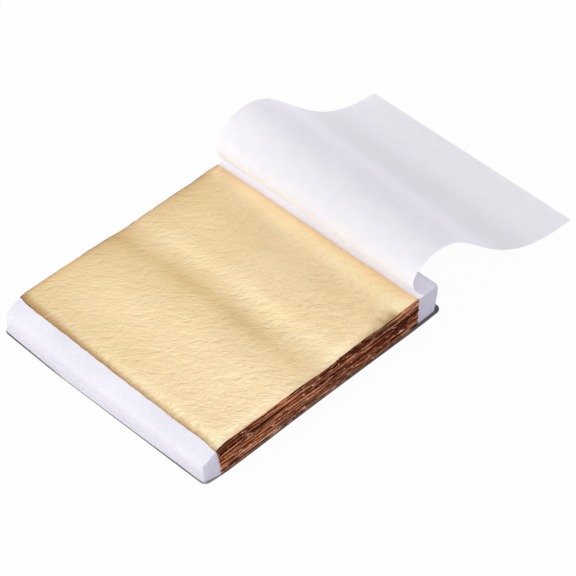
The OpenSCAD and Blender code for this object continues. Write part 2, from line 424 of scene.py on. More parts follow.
def lay_sheets(obj, below, x, y, z, ragged=0.0, seed=43):
    """Places the points of sheets and gives them the values that their materials read."""
    reach, pale = side_reach(below, x, y)
    across, endways = foot_shift(below, x, y)
    place_points(obj, np.stack([x + reach + across, y + endways + ragged, z], 1))
    start, end = leaf_span(below, x)
    attach_values(
        obj,
        past_start=(y - start) * MM,
        to_end=(end - y) * MM,
        rim=np.clip(1 - (HALF_W - np.abs(x)) / RIM, 0, 1),
        pale=pale,
        tone=noise_at(below * 0.83, 0.5, seed),
        level=below / LEAVES * STACK_FULL * MM,
        cut_end=np.clip(1 - (y + FORE_END) / RIM, 0, 1),
        # Where the painted light on the bound part at the spine lies
        clean=smooth_step(y, LEAF_END - 0.1, LEAF_END + 0.3),
    )


def tissue_pile(name, numbers, across=SIDE_STATIONS):
    """The free parts of tissues by their numbers, which share one fold line."""
    rows = np.concatenate([FORE_STATIONS, COVER_STATIONS, [fold_line(numbers[0])]])
    obj, column, row, sheet = grid_pile(name, len(across) - 1, len(rows) - 1, len(numbers))
    below = LEAVES + 1.0 - np.array(numbers)[sheet]
    x, y = along_stations(across, column), along_stations(rows, row)
    near_end = 1 - smooth_step(y, -FORE_END, -FORE_END + 2)
    cut = 0.10 * noise_at(below * 0.9, x / 30, 41) + 0.14 * noise_at(below * 0.17, x / 45, 42)
    lay_sheets(obj, below, x, y, sheet_height(below, x, y), near_end * cut)
    thicken(obj, TISSUE_T, 1)
    return obj


def leaf_pile(name, numbers, across=SIDE_STATIONS, rows=64, crinkle=0.0):
    """Metal leaves by their numbers, each half way up the room between its two tissues."""
    obj, column, row, sheet = grid_pile(name, len(across) - 1, rows, len(numbers))
    number = np.array(numbers, float)[sheet]
    upper, lower = LEAVES + 1 - number, LEAVES - number
    share = row / rows
    x = along_stations(across, column)
    start, end = leaf_span(upper, x)
    ragged = 0.09 * noise_at(x / 2.3, upper * 0.9, 51) + 0.05 * noise_at(x / 0.8, upper * 0.9, 52)
    ragged = ragged * (1 - smooth_step(share, 0, 0.03)) - ragged * smooth_step(share, 0.97, 1)
    y = start + (end - start) * share
    z = (sheet_height(upper, x, y) + sheet_height(lower, x, y) + TISSUE_T - LEAF_T) / 2
    lay_sheets(obj, upper, x, y, z + crinkle * crinkles(x, y), ragged, 53)
    # Painted light and shade for the leaf's material
    attach_values(obj, fold_tone=painted_leaf_light(x, y), edge_shade=edge_shade(x, y, y - start))
    thicken(obj, LEAF_T, 1)
    return obj


def crinkles(x, y):
    """Fine creases of a thin metal leaf, from 0 to 1."""
    warp = noise_at(x / 6, y / 6, 61)
    height = 0
    for cell, weight, seed in ((5.2, 0.5, 62), (2.7, 0.32, 63), (1.5, 0.18, 64)):
        height = height + weight * (1 - np.abs(noise_at(x / cell + warp, y / cell - warp, seed)))
    return height


def strip_pile(name, numbers):
    """The bound strips of tissues by their numbers, from their fold lines to the spine."""
    obj, column, row, sheet = grid_pile(name, len(SIDE_STATIONS) - 1, len(STRIP_SHARES) - 1, len(numbers))
    number = np.array(numbers)[sheet]
    below = LEAVES + 1.0 - number
    start = fold_line(number) + FOLD_GAP + TISSUE_T * (number == 1)
    x = along_stations(SIDE_STATIONS, column)
    y = start + (spine_reach(below) - start) * along_stations(STRIP_SHARES, row)
    lay_sheets(obj, below, x, y, sheet_height(below, x, y))
    thicken(obj, TISSUE_T, 1)
    return obj


# The turned top tissue, in millimetres. The pairs are its left and right side.
LEAN = (math.radians(50), math.radians(47))
SAG, SAG_AT, SAG_RUN = math.radians(6), 0.8, 0.3
RISE_REACH = 14.5
CREST_BACK = (9.3, 5.9)
CREST_H = (27.0, 25.0)
CREST_FRONT = (5.4, 8.1)
CREST_REAR = (16.6, 14.4)
LANDING_REACH = 29.0
LANDING_BACK = (60.9, 55.8)
TURNED_BACK = (62.8, 61.7)
TURNED_LIFT = 0.1
TURNED_SHIFT = 2.6
TURNED_SHIFT_POWER = 1.4
# Its columns, and its rows up to the crest, down behind it and flat on the table
TURNED_COLUMNS = 56
TURNED_ROWS = (44, 66, 4)


def cubic(a, b, c, d, t):
    return (1 - t) ** 3 * a + 3 * (1 - t) ** 2 * t * b + 3 * (1 - t) * t * t * c + t**3 * d


def turned_points():
    """Points of the turned tissue's outer face, by column and row, and each one's run from the fold."""
    rises, falls, flats = TURNED_ROWS
    v = np.linspace(0, 1, TURNED_COLUMNS + 1)[:, None]
    rise_t = np.linspace(0, 1, rises + 1)
    fall_t, flat_t = (np.linspace(0, 1, rows + 1)[1:] for rows in (falls, flats))

    def mix(pair):
        return pair[0] * (1 - v) + pair[1] * v

    ground = TISSUE_T + TURNED_LIFT
    fold_z = CARD_TOP + stack_height(np.array(FOLD_Y))
    crest_y, crest_z = mix(CREST_BACK), mix(CREST_H)
    landing, tip = mix(LANDING_BACK), mix(TURNED_BACK)
    lean = mix(LEAN) - SAG * bump_at(v, SAG_AT, SAG_RUN)
    rise_y = -RISE_REACH * np.cos(lean)
    rise_z = fold_z + RISE_REACH * np.sin(lean)
    back = np.hstack(
        [
            cubic(0, rise_y, crest_y - mix(CREST_FRONT), crest_y, rise_t),
            cubic(crest_y, crest_y + mix(CREST_REAR), landing - LANDING_REACH, landing, fall_t),
            landing + (tip - landing) * flat_t,
        ]
    )
    height = np.hstack(
        [
            cubic(fold_z, rise_z, crest_z, crest_z, rise_t),
            cubic(crest_z, crest_z, ground, ground, fall_t),
            ground + 0 * v * flat_t,
        ]
    )
    steps = np.hypot(np.diff(back, axis=1), np.diff(height, axis=1))
    run = np.hstack([0 * v, np.cumsum(steps, axis=1)])
    shift = TURNED_SHIFT * (run / run[:, -1:]) ** TURNED_SHIFT_POWER
    x = 2 * HALF_W * (v - 0.5) + shift
    return x, FOLD_Y + back, height, run, np.broadcast_to(v, run.shape)


# Materials, with places and levels in millimetres

# Creases run mostly along this turn, and the painted shade of the leaf is a deeper gold
CREASE_TURN = math.radians(46)
PAINTED_LIGHT_TINT = (0.9, 1.1, 1.5)
# Depths of the leaf's fine folds, creases and pleats
FOLD_DEPTH, CREASE_DEPTH, PLEAT_DEPTH = 0.5, 0.24, 0.35
# The rim value at which a cut side starts and where it is full, and the usual limits of a noise
SIDE_LIMITS = (0.1, 0.7)
NOISE_LIMITS = (0.3, 0.7)


def node(kind, inputs=None, tree=None, result=0, **settings):
    """Adds a shader node and returns one of its outputs. An input that is given a socket is linked, any
    other is set, and the node goes into the tree of those sockets if none is named."""
    inputs = inputs or {}
    linked = [key for key, value in inputs.items() if isinstance(value, bpy.types.NodeSocket)]
    tree = tree or inputs[linked[0]].id_data
    made = tree.nodes.new("ShaderNode" + kind)
    for key, value in settings.items():
        setattr(made, key, value)
    for key, value in inputs.items():
        if key in linked:
            tree.links.new(value, made.inputs[key])
        else:
            made.inputs[key].default_value = value
    return made.outputs[result] if made.outputs else None


def calc(operation, *values, clamp=False):
    return node("Math", dict(enumerate(values)), operation=operation, use_clamp=clamp)


def product(first, *others):
    for value in others:
        first = calc("MULTIPLY", first, value)
    return first


def vector_calc(operation, *values, result=0):
    return node("VectorMath", dict(enumerate(values)), operation=operation, result=result)


def span(value, low, high, start=0, end=1):
    """Maps a value from low..high to start..end, and no further."""
    inputs = {0: value, 1: low, 2: high, 3: start, 4: end}
    return node("MapRange", inputs, interpolation_type="SMOOTHSTEP")


def span_mm(place, low, high, start=0, end=1):
    """Maps a place from low..high, in millimetres, to start..end."""
    return span(place, low * MM, high * MM, start, end)


def from_half(field):
    """How far a noise is from its middle value, which draws thin lines where it is near."""
    return calc("ABSOLUTE", calc("SUBTRACT", field, 0.5))


def colour(value):
    """A colour as an input of a node: a socket stays as it is."""
    return value if isinstance(value, bpy.types.NodeSocket) else (*value, 1.0)


def tint(share, first, second):
    """Mixes a share of the second colour into the first."""
    return node("Mix", {0: share, 6: colour(first), 7: colour(second)}, data_type="RGBA", result=2)


def noise(place, scale, detail=2, roughness=0.5, distortion=0):
    inputs = {"Scale": scale, "Detail": detail, "Roughness": roughness, "Distortion": distortion}
    return node("TexNoise", {"Vector": place, **inputs})


def blended(first, second, share):
    """A share of the first noise with the rest of the second."""
    return calc("MULTIPLY_ADD", first, share, product(second, 1 - share))


def mottled(field, dull, bright, limits=NOISE_LIMITS):
    """Two colours, mixed by a noise."""
    return tint(span(field, *limits), dull, bright)


def mapped(place, scale=(1, 1, 1), turn=0.0):
    return node("Mapping", {"Vector": place, "Scale": scale, "Rotation": (0, 0, turn)})


def object_place(tree):
    return node("TexCoord", tree=tree, result="Object")


def axis_of(place, axis):
    return node("SeparateXYZ", {0: place}, result=axis)


def value_of(tree, name):
    """A number that the mesh has for each vertex."""
    return node("Attribute", tree=tree, result="Fac", attribute_name=name)


def bump(height, depth, strength=1.0, below=None):
    """Raises a surface by a field of a depth in millimetres, over another bump where one is given."""
    inputs = {"Height": height, "Distance": depth * MM, "Strength": strength}
    if below is not None:
        inputs["Normal"] = below
    return node("Bump", inputs)


def principled(base, roughness, normal, metallic=0.0, specular=0.5):
    inputs = {"Base Color": base, "Roughness": roughness, "Normal": normal}
    return node("BsdfPrincipled", {**inputs, "Metallic": metallic, "Specular IOR Level": specular})


def new_material(name, maker, *values):
    """A material with the shader that its maker returns."""
    material = bpy.data.materials.new(name)
    material.use_nodes = True
    tree = material.node_tree
    tree.nodes.clear()
    node("OutputMaterial", {"Surface": maker(tree, *values)})
    return material


def side_grain(place):
    """Fine grain of the cut sides."""
    return noise(mapped(place, (0.4, 1, 3)), 620, 3, 0.65)


def side_noise(level, along, level_cells, along_cells, seed, detail=2):
    """Noise drawn out along the sheets: cells per millimetre up the stack and along the side."""
    up = product(level, level_cells / MM)
    beside = product(along, along_cells / MM)
    return noise(node("CombineXYZ", {0: up, 1: beside, 2: seed}), 1, detail, 0.55, 0.15)


def side_stain(tree, finishes, place, grain):
    """Colour of the cut sides, where foil is dragged over them, with painted glints in its bright lines."""
    along = axis_of(place, 1)
    level = value_of(tree, "level")
    # Broad layers, darker at the top and at the foot
    layers = side_noise(level, along, 1, 0.03, 1.5)
    shade = calc("MULTIPLY_ADD", value_of(tree, "tone"), 0.05, layers)
    shade = calc("SUBTRACT", shade, span_mm(level, 7.2, 9.2, 0, 0.06))
    shade = calc("SUBTRACT", shade, span_mm(level, 0.6, 1.8, 0.07, 0))
    shade = calc("MULTIPLY_ADD", calc("SUBTRACT", grain, 0.5), 0.5, shade)
    stain = tint(span(shade, 0.38, 0.62, 0.16, 0.66), finishes.stain_dark, finishes.stain_mid)
    # Shares of the lines: in clumps away from the top and the foot, between those clumps, and far apart
    breaks = side_noise(level, along, 1.5, 0.2, 3.5)
    inner = product(span_mm(level, 0.4, 1.8, 0.35, 1), span_mm(level, 8.8, 9.8, 1, 0.5))
    clumps = product(span(breaks, 0.40, 0.54, 0.15, 1), inner)
    between = span(breaks, 0.46, 0.58, 0.9, 0.2)
    sparse = span(breaks, 0.48, 0.58, 0, 0.9)
    # The bright lines are partly lighter copper and partly painted glints
    # Long thin lines, as (colour, cells up the stack and along it, seed, share, half width in the noise)
    lines = (
        (finishes.stain_dark, 0.6, 0.012, 7.5, 0.8, 0.04),
        (finishes.stain_dark, 0.8, 0.02, 21.5, 0.7, 0.04),
        (finishes.stain_copper_and_glint, 0.65, 0.010, 5.5, clumps, 0.028),
        (finishes.stain_copper_and_glint, 0.5, 0.016, 11.5, between, 0.022),
        (finishes.stain_copper_and_glint, 0.9, 0.02, 25.5, clumps, 0.024),
        (finishes.stain_pale, 0.5, 0.014, 15.5, sparse, 0.022),
    )
    for line, level_cells, along_cells, seed, share, wide in lines:
        field = from_half(side_noise(level, along, level_cells, along_cells, seed, 1))
        near = product(span(field, 0.4 * wide, wide, 1, 0), share)
        stain = tint(near, stain, line)
    knots = span(side_noise(level, along, 1.6, 0.45, 9.5), 0.59, 0.65)
    stain = tint(product(knots, span(grain, 0.46, 0.60)), stain, finishes.stain_pale)
    pale = calc("MULTIPLY", value_of(tree, "pale"), span(grain, 0.30, 0.48), clamp=True)
    return tint(pale, stain, finishes.stain_pale)


def under_leaf(tree, grain):
    """1 where a leaf lies on a tissue, with ragged ends."""
    wander = product(calc("SUBTRACT", grain, 0.5), 0.6 * MM)
    ends = [calc("ADD", value_of(tree, name), wander) for name in ("past_start", "to_end")]
    return product(*(calc("GREATER_THAN", end, 0) for end in ends))


def leaf_creases(place):
    """Fine folds, creases that are drawn out along their turn, and pleats beside the right edge."""
    across, along = axis_of(place, 0), axis_of(place, 1)
    strength = product(span_mm(along, 29, 34, 1, 1.1), span_mm(across, -30, 40, 0.84, 1.35))
    turned = mapped(place, turn=-CREASE_TURN)
    folds = from_half(noise(mapped(turned, (0.66, 1, 1)), 262, 3, 0.6, 0.8))
    creases = noise(mapped(turned, (0.5, 1, 1)), 720, 3, 0.6, 0.6)
    pleats = noise(mapped(place, (0.2, 1, 1)), 1500, 2, 0.5, 0.3)
    beside = product(
        span_mm(across, HALF_W - 4.5, HALF_W - 1),
        span_mm(along, -2, 12),
        span_mm(along, 29, 35, 1, 0.25),
    )
    normal = bump(product(folds, strength), FOLD_DEPTH, 0.9)
    normal = bump(product(creases, strength), CREASE_DEPTH, 1, normal)
    return bump(product(pleats, beside, strength), PLEAT_DEPTH, 1, normal)


def gold_shader(tree, finishes):
    """Satin metal leaf with fine creases, painted light and shade in its folds and at its edges, brown at
    its sides.
    """
    place = object_place(tree)
    across = axis_of(place, 0)
    broad = noise(place, 60)
    gold = mottled(broad, finishes.gold_deep, finishes.gold)
    # Painted light and shade of the leaf's folds and edges, deeper gold where it is dark
    tone = node("CombineXYZ", {axis: value_of(tree, "fold_tone") for axis in range(3)})
    gold = vector_calc("MULTIPLY", gold, vector_calc("MULTIPLY_ADD", tone, PAINTED_LIGHT_TINT, (1, 1, 1)))
    # Painted shade where the leaf turns down at its edges
    gold = tint(value_of(tree, "edge_shade"), gold, finishes.gold_shade)
    # A thin line along the fore edge, darkest at its left end, and a warm one along the spine edge
    line = tint(span_mm(across, -42.5, -32, 0.85, 0), finishes.gold_shade, finishes.stain_dark)
    past_start = span_mm(value_of(tree, "past_start"), 0.1, 0.35, 1, 0)
    gold = tint(product(past_start, span_mm(across, -30, 10, 0.95, 0.7)), gold, line)
    gold = tint(span_mm(value_of(tree, "to_end"), 0.1, 1.6, 0.55, 0), gold, finishes.gold_rim)
    side = span(value_of(tree, "rim"), *SIDE_LIMITS)
    base = tint(side, gold, side_stain(tree, finishes, place, side_grain(place)))
    roughness = span(broad, *NOISE_LIMITS, 0.30, 0.36)
    return principled(base, roughness, leaf_creases(place), metallic=0.75)


def tissue_shader(tree, finishes):
    """White tissue, stained copper brown along the cut sides where leaves lie on it, with painted shade on
    its cut ends and painted light on the bound part towards the spine.
    """
    place = object_place(tree)
    grain = side_grain(place)
    rim = span(value_of(tree, "rim"), *SIDE_LIMITS)
    fibre = noise(place, 900, 3, 0.6, 0.8)
    shade = blended(noise(place, 70), fibre, 0.5)
    white = mottled(shade, finishes.tissue_shade, finishes.tissue)
    # Painted shade on the cut ends at the fore edge
    white = tint(product(value_of(tree, "cut_end"), 0.5), white, finishes.tissue_shade)
    # Painted light: a whiter tissue on the bound part towards the spine, away from the cut sides
    clean = product(value_of(tree, "clean"), calc("SUBTRACT", 1, rim))
    white = tint(clean, white, finishes.tissue_clean)
    side = product(rim, under_leaf(tree, grain))
    base = tint(side, white, side_stain(tree, finishes, place, grain))
    roughness = span(side, 0, 1, 0.82, 0.6)
    return principled(base, roughness, bump(fibre, 0.01, 0.5), specular=0.04)


def turned_shader(tree, finishes):
    """Thin tissue that lets light through, less of it near its fold, with mottled fibres on its own map and
    painted shade in the hollow behind its crest.
    """
    flat = node("UVMap", tree=tree, uv_map="sheet")
    run = axis_of(flat, 1)
    fibre = noise(mapped(flat, (1, 0.45, 1)), 1100, 3, 0.6, 1)
    shade = blended(noise(flat, 260, 4, 0.65, 0.6), noise(flat, 55, 3, 0.6), 0.75)
    base = mottled(shade, finishes.turned_shade, finishes.turned, (0.35, 0.65))
    # Painted shade in the hollow behind the crest
    hollow = product(span_mm(run, 42, 57, 0, 0.38), span_mm(run, 62, 78, 1, 0))
    base = tint(hollow, base, finishes.turned_hollow_shade)
    normal = bump(fibre, 0.012, 0.5)
    front = principled(base, 0.75, normal, specular=0.25)
    through = node("BsdfTranslucent", {"Color": base, "Normal": normal})
    return node("MixShader", {0: span_mm(run, 0, 13, 0.04, 0.46), 1: front, 2: through})


def card_shader(tree, finishes):
    """Grey pulp board with fine fibres, paler at its front corner."""
    place = object_place(tree)
    fibre = noise(mapped(place, (1, 1, 3)), 800, 4, 0.65)
    shade = blended(noise(place, 90), fibre, 0.5)
    base = mottled(shade, finishes.card_shade, finishes.card)
    corner = (CARD_HIGH[0] * MM, CARD_LOW[1] * MM, 0)
    away = vector_calc("DISTANCE", place, corner, result="Value")
    # Paler grey towards the front corner
    base = tint(span_mm(away, 1, 9, 0.75, 0), base, finishes.card_pale_corner)
    roughness = span(fibre, *NOISE_LIMITS, 0.7, 0.85)
    return principled(base, roughness, bump(fibre, 0.02, 0.6), specular=0.3)


def glue_shader(tree, finishes):
    """A dried film of padding glue, faintly glossy and uneven."""
    streak = noise(mapped(object_place(tree), (0.25, 1, 2.5)), 500, 3, 0.6)
    base = mottled(streak, finishes.glue_shade, finishes.glue)
    roughness = span(streak, *NOISE_LIMITS, 0.35, 0.55)
    return principled(base, roughness, bump(streak, 0.05, 0.6))


# The name of each slot's material, and what makes its shader
MATERIALS = {
    "leaf": ("leaf_metal", gold_shader),
    "tissue": ("page_paper", tissue_shader),
    "top_tissue": ("turned_paper", turned_shader),
    "card": ("grey_board", card_shader),
    "glue": ("dry_glue", glue_shader),
}


def material_for(slot):
    """The material of a slot, made once for all the pieces that share it."""
    name, maker = MATERIALS[slot]
    return bpy.data.materials.get(name) or new_material(name, maker, bpy.context.scene.booklet_finishes)


# Settings that a user may change


def colour_prop(name, description, default):
    return FloatVectorProperty(
        name=name, description=description, default=default, min=0.0, max=1.0, size=3, subtype="COLOR"
    )


def length_prop(name, description, default, least, most):
    return FloatProperty(
        name=name, description=description, default=default, min=least, max=most, precision=6, unit="LENGTH"
    )


def angle_prop(name, description, degrees):
    return FloatProperty(name=name, description=description, default=math.radians(degrees), subtype="ANGLE")


def light_prop(name, description, default, most):
    return FloatProperty(name=name, description=description, default=default, min=0.0, max=most)


class BookletFinishes(bpy.types.PropertyGroup):
    """Colours of the booklet, as linear values."""

    gold: colour_prop("Gold", "Bright colour of the metal leaf", (0.845, 0.66, 0.385))
    gold_deep: colour_prop("Deep Gold", "The metal leaf's broad patches", (0.825, 0.635, 0.355))
    # Painted shade where the leaf turns down at its edges, and the colour of its fore edge line
    gold_shade: colour_prop("Gold Shade", "Where the leaf turns down at its edges", (0.42, 0.225, 0.078))
    gold_rim: colour_prop("Gold Rim", "Warm line at the leaf's spine edge", (0.86, 0.58, 0.36))
    stain_dark: colour_prop("Dark Side", "Darkest copper brown of the cut sides", (0.055, 0.008, 0.001))
    stain_mid: colour_prop("Side", "Common copper brown of the cut sides", (0.30, 0.045, 0.005))
    # Lighter copper of the cut sides, partly the foil's own colour and partly painted glints
    stain_copper_and_glint: colour_prop("Bright Side", "Copper glints on the cut sides", (0.88, 0.37, 0.15))
    stain_pale: colour_prop("Pale Ledge", "Pinkish white of edges that stand out", (1.0, 0.63, 0.42))
    tissue: colour_prop("Tissue", "White of the tissues", (0.82, 0.805, 0.855))
    # Also the painted shade on the cut ends of the tissues
    tissue_shade: colour_prop("Tissue Shade", "Duller white of the tissues", (0.74, 0.725, 0.775))
    # Painted light: the whiter tissue of the bound part, which lies in the turned tissue's shadow
    tissue_clean: colour_prop("Bound Tissue", "White past the leaves, at the spine", (0.95, 0.935, 0.975))
    turned: colour_prop("Turned Tissue", "White of the turned top tissue", (0.97, 0.96, 0.975))
    turned_shade: colour_prop("Turned Shade", "Duller white of its fibres", (0.94, 0.93, 0.95))
    # Painted shade of the turned tissue in the hollow behind its crest
    turned_hollow_shade: colour_prop("Turned Hollow Shade", "Its dull white low down behind", (0.79, 0.79, 0.79))
    card: colour_prop("Card", "Grey of the backing card", (0.15, 0.14, 0.145))
    card_shade: colour_prop("Card Shade", "Darker grey of the card's fibres", (0.1, 0.09, 0.092))
    # Paler grey towards the card's front corner
    card_pale_corner: colour_prop("Pale Card Corner", "Paler grey of the card's front corner", (0.36, 0.33, 0.31))
    glue: colour_prop("Glue", "Colour of the dried spine glue", (0.80, 0.79, 0.76))
    glue_shade: colour_prop("Glue Shade", "Duller streaks in the glue", (0.70, 0.69, 0.66))


class BookletSizes(bpy.types.PropertyGroup):
    """Sizes of the visible detail."""

    crinkle: length_prop("Crinkle Height", "Creases modelled in the top leaf", 0.00006, 0.0, 0.0003)
    flutter: length_prop("Sheet Flutter", "Low waves in the turned tissue", 0.00012, 0.0, 0.001)
    card_round: length_prop("Card Edge Rounding", "Round edges of the card's two faces", 0.0002, 0.0, 0.0004)
    card_corner: length_prop("Card Corner Radius", "Backing card's corners", 0.002, 0.0005, 0.004)


class BookletStudio(bpy.types.PropertyGroup):
    """Camera and light."""

    turn: angle_prop("Camera Turn", "Camera's way round the booklet", 47.84921)
    height: angle_prop("Camera Height", "Camera's angle above the table", 44.69886)
    roll: angle_prop("Camera Roll", "Camera's tilt about its own line", -2.79419)
    distance: length_prop("Camera Distance", "From the camera to its target", 0.75235799, 0.1, 5.0)
    lens: FloatProperty(name="Lens", description="Focal length in mm", default=158.3161, min=20, max=400)
    target: FloatVectorProperty(
        name="Camera Target",
        description="Point that the camera looks at",
        default=(0.00474359, 0.02355146, 0.001),
        size=3,
        subtype="TRANSLATION",
        unit="LENGTH",
    )
    key_power: light_prop("Key Power", "Power of the large lamp at the front left", 3.2, 100.0)
    sky: light_prop("Sky Strength", "Light from all round on the dim side", 0.83, 2.0)
    sky_bright: light_prop("Bright Sky Strength", "The same on the bright side", 1.06, 2.0)
    zenith: light_prop("Zenith Share", "Share of it that comes from straight above", 0.53, 1.0)
    horizon: light_prop("Horizon Light", "Extra share of it from low down", 0.42, 1.0)
    sheen_light: light_prop("Sheen Light", "Soft light from high at the back left", 0.16, 1.0)


# Operators


# The ways to the bright side of the sky and to the sheen's light, and the key lamp
BRIGHT_WAY = (-0.85, -0.52, 0.0)
SHEEN_WAY = (-0.53, 0.48, 0.70)
KEY_PLACE = (-0.38, -0.95, 0.30)
KEY_AIM = (0, 0.01, 0.005)
KEY_SIZE = 0.5
WHITE = (1, 1, 1)
COOL_WHITE = (0.93, 0.91, 1.07)


def floor_shader(tree):
    """A matt table that looks nearly pure white to the camera and in reflections."""
    kinds = ("Camera", "Glossy", "Transmission")
    camera, glossy, through = (node("LightPath", tree=tree, result=f"Is {kind} Ray") for kind in kinds)
    seen = calc("MAXIMUM", calc("MAXIMUM", camera, glossy), through)
    matt = node("BsdfDiffuse", {"Color": (0.9, 0.9, 0.9, 1)}, tree)
    glow = node("Emission", {"Color": colour(WHITE), "Strength": 1.0}, tree)
    return node("MixShader", {0: product(seen, 0.95), 1: matt, 2: glow})


def make_floor():
    bpy.ops.mesh.primitive_plane_add(size=8.0, location=(0, 0, -0.00002))
    floor = bpy.context.active_object
    floor.name = "floor"
    floor.data.materials.append(new_material("floor", floor_shader))


def nearness(way, goal):
    """How near a way is to another, up to 1."""
    return vector_calc("DOT_PRODUCT", way, Vector(goal).normalized(), result="Value")


def make_world(studio):
    """A plain white backdrop that lights the booklet mostly from its left and from low down."""
    world = bpy.data.worlds.new("studio")
    bpy.context.scene.world = world
    world.use_nodes = True
    tree = world.node_tree
    tree.nodes.clear()
    way = node("TexCoord", tree=tree, result="Generated")
    facing, height = nearness(way, BRIGHT_WAY), axis_of(way, 2)
    light = product(
        span(facing, -0.75, 0.25, studio.sky, studio.sky_bright),
        span(height, 0.60, 1.0, 1.0, studio.zenith),
        span(height, 0.10, 0.60, 1.0 + studio.horizon, 1.0),
    )
    sheen = span(nearness(way, SHEEN_WAY), 0.55, 0.95, 0.0, studio.sheen_light)
    to_camera = node("LightPath", tree=tree, result="Is Camera Ray")
    strength = node("Mix", {0: to_camera, 2: calc("ADD", light, sheen), 3: 1.0}, data_type="FLOAT")
    cool = tint(span(facing, -0.75, 0.25), COOL_WHITE, WHITE)
    background = node("Background", {"Color": tint(to_camera, cool, WHITE), "Strength": strength})
    node("OutputWorld", {"Surface": background})


def add_object(name, data):
    made = bpy.data.objects.new(name, data)
    bpy.context.scene.collection.objects.link(made)
    return made


def make_lamp(studio):
    data = bpy.data.lights.new("key_lamp", "AREA")
    data.shape = "SQUARE"
    data.size = KEY_SIZE
    data.energy = studio.key_power
    lamp = add_object("key_lamp", data)
    lamp.location = KEY_PLACE
    lamp.rotation_mode = "QUATERNION"
    lamp.rotation_quaternion = (Vector(KEY_AIM) - Vector(KEY_PLACE)).to_track_quat("-Z", "Y")


def make_camera(studio):
    data = bpy.data.cameras.new("camera")
    data.lens = studio.lens
    data.clip_start, data.clip_end = 0.01, 20
    camera = add_object("camera", data)
    turns = ((studio.turn, "Z"), (math.pi / 2 - studio.height, "X"), (studio.roll, "Z"))
    camera.matrix_world = Matrix.Translation(studio.target)
    for angle, axis in turns:
        camera.matrix_world @= Matrix.Rotation(angle, 4, axis)
    camera.matrix_world @= Matrix.Translation((0, 0, studio.distance))
    bpy.context.scene.camera = camera


class BOOKLET_OT_stage(bpy.types.Operator):
    """Make the table, the world, the key lamp and the camera"""

    bl_idname = "booklet.stage"
    bl_label = "Stage"

    def execute(self, context):
        studio = context.scene.booklet_studio
        context.scene.view_settings.view_transform = "Standard"
        make_floor()
        make_world(studio)
        make_lamp(studio)
        make_camera(studio)
        return {"FINISHED"}


# Columns and rows of the finer meshes
FILM_GRID = (60, 16)
TOP_LEAF_GRID = (151, 142)
LEAF_GRID = (21, 64)
TOP_PAGE_COLUMNS, PAGE_COLUMNS = 49, 21
# How far the middle of the glue film stands out of the sheets, and its thickness
FILM_OUT, FILM_T = 0.16, 0.14
# Points round each corner of the card and along each edge, and how far in an edge's bow is felt
CORNER_POINTS = 9
EDGE_POINTS = 16
BOW_RUN = 6


def card_outline(radius):
    """Points round the backing card, whose fore and right edges are cut a little out of true."""
    (left, fore, _), (right, back, _) = CARD_LOW + radius, CARD_HIGH - radius
    middles = np.array([(right, back), (left, back), (left, fore), (right, fore)])
    shares = np.linspace(0, 1, EDGE_POINTS)[1:-1, None]
    points = []
    for number, middle in enumerate(middles):
        turns = math.pi / 2 * (number + np.linspace(0, 1, CORNER_POINTS))
        points.extend(middle + radius * np.stack([np.cos(turns), np.sin(turns)], 1))
        points.extend(points[-1] + shares * (middles[(number + 1) % 4] - middle))
    x, y = np.array(points).T
    out = smooth_step(x, CARD_HIGH[0] - BOW_RUN, CARD_HIGH[0]) * np.interp(y, *RIGHT_CARD)
    near = 1 - smooth_step(y, CARD_LOW[1], CARD_LOW[1] + BOW_RUN)
    return np.stack([x + out, y - near * np.interp(x, *FORE_CARD), np.full(len(x), CARD_LOW[2])], 1)


class BOOKLET_OT_card(bpy.types.Operator):
    """Make the rounded backing card"""

    bl_idname = "booklet.card"
    bl_label = "Backing Card"

    def execute(self, context):
        sizes = context.scene.booklet_sizes
        outline = card_outline(sizes.card_corner / MM)
        thickness = (CARD_HIGH[2] - CARD_LOW[2]) * MM
        bpy.ops.mesh.primitive_circle_add(vertices=len(outline), radius=1, fill_type="NGON")
        card = context.active_object
        card.name = card.data.name = "card_board"
        place_points(card, outline)
        bpy.ops.object.mode_set(mode="EDIT")
        bpy.ops.mesh.select_all(action="SELECT")
        bpy.ops.mesh.extrude_region_move(TRANSFORM_OT_translate={"value": (0, 0, thickness)})
        bpy.ops.mesh.select_all(action="SELECT")
        bpy.ops.mesh.normals_make_consistent(inside=False)
        bpy.ops.object.mode_set(mode="OBJECT")
        rounding = card.modifiers.new("rounding", "BEVEL")
        rounding.width = sizes.card_round
        rounding.segments = 3
        rounding.angle_limit = math.radians(60)
        apply_modifiers(card)
        finish_piece(card, "card", ["backing_card"], "booklet_base")
        return {"FINISHED"}


class BOOKLET_OT_glue(bpy.types.Operator):
    """Make the uneven film of padding glue down the spine"""

    bl_idname = "booklet.glue"
    bl_label = "Spine Glue"

    def execute(self, context):
        columns, rows = FILM_GRID
        film, column, row, _ = grid_pile("glue_film", columns, rows)
        share = row / rows
        x = (HALF_W - FILM_INSET) * (2 * column / columns - 1)
        z = CARD_TOP + (GLUE_HIGH[2] - CARD_TOP) * share - spine_droop(share, SPINE_END)
        uneven = 0.08 * noise_at(x / 7, share * 4, 71) * np.sin(math.pi * share)
        place_points(film, np.stack([x, spine_reach(LEAVES * share) + FILM_OUT + uneven, z], 1))
        thicken(film, FILM_T, 0)
        finish_piece(film, "glue", ["spine_glue"], "booklet_base")
        return {"FINISHED"}


class BOOKLET_OT_strips(bpy.types.Operator):
    """Make the bound strips of all the tissues"""

    bl_idname = "booklet.strips"
    bl_label = "Bound Strips"

    def execute(self, context):
        for part, first, last in (("upper", 1, LAST_PAGE), ("lower", LAST_PAGE + 1, LEAVES + 1)):
            strips = strip_pile(f"strips_{part}", range(first, last + 1))
            finish_piece(strips, "tissue", [f"bound_strips_{part}"], "booklet_base")
        return {"FINISHED"}


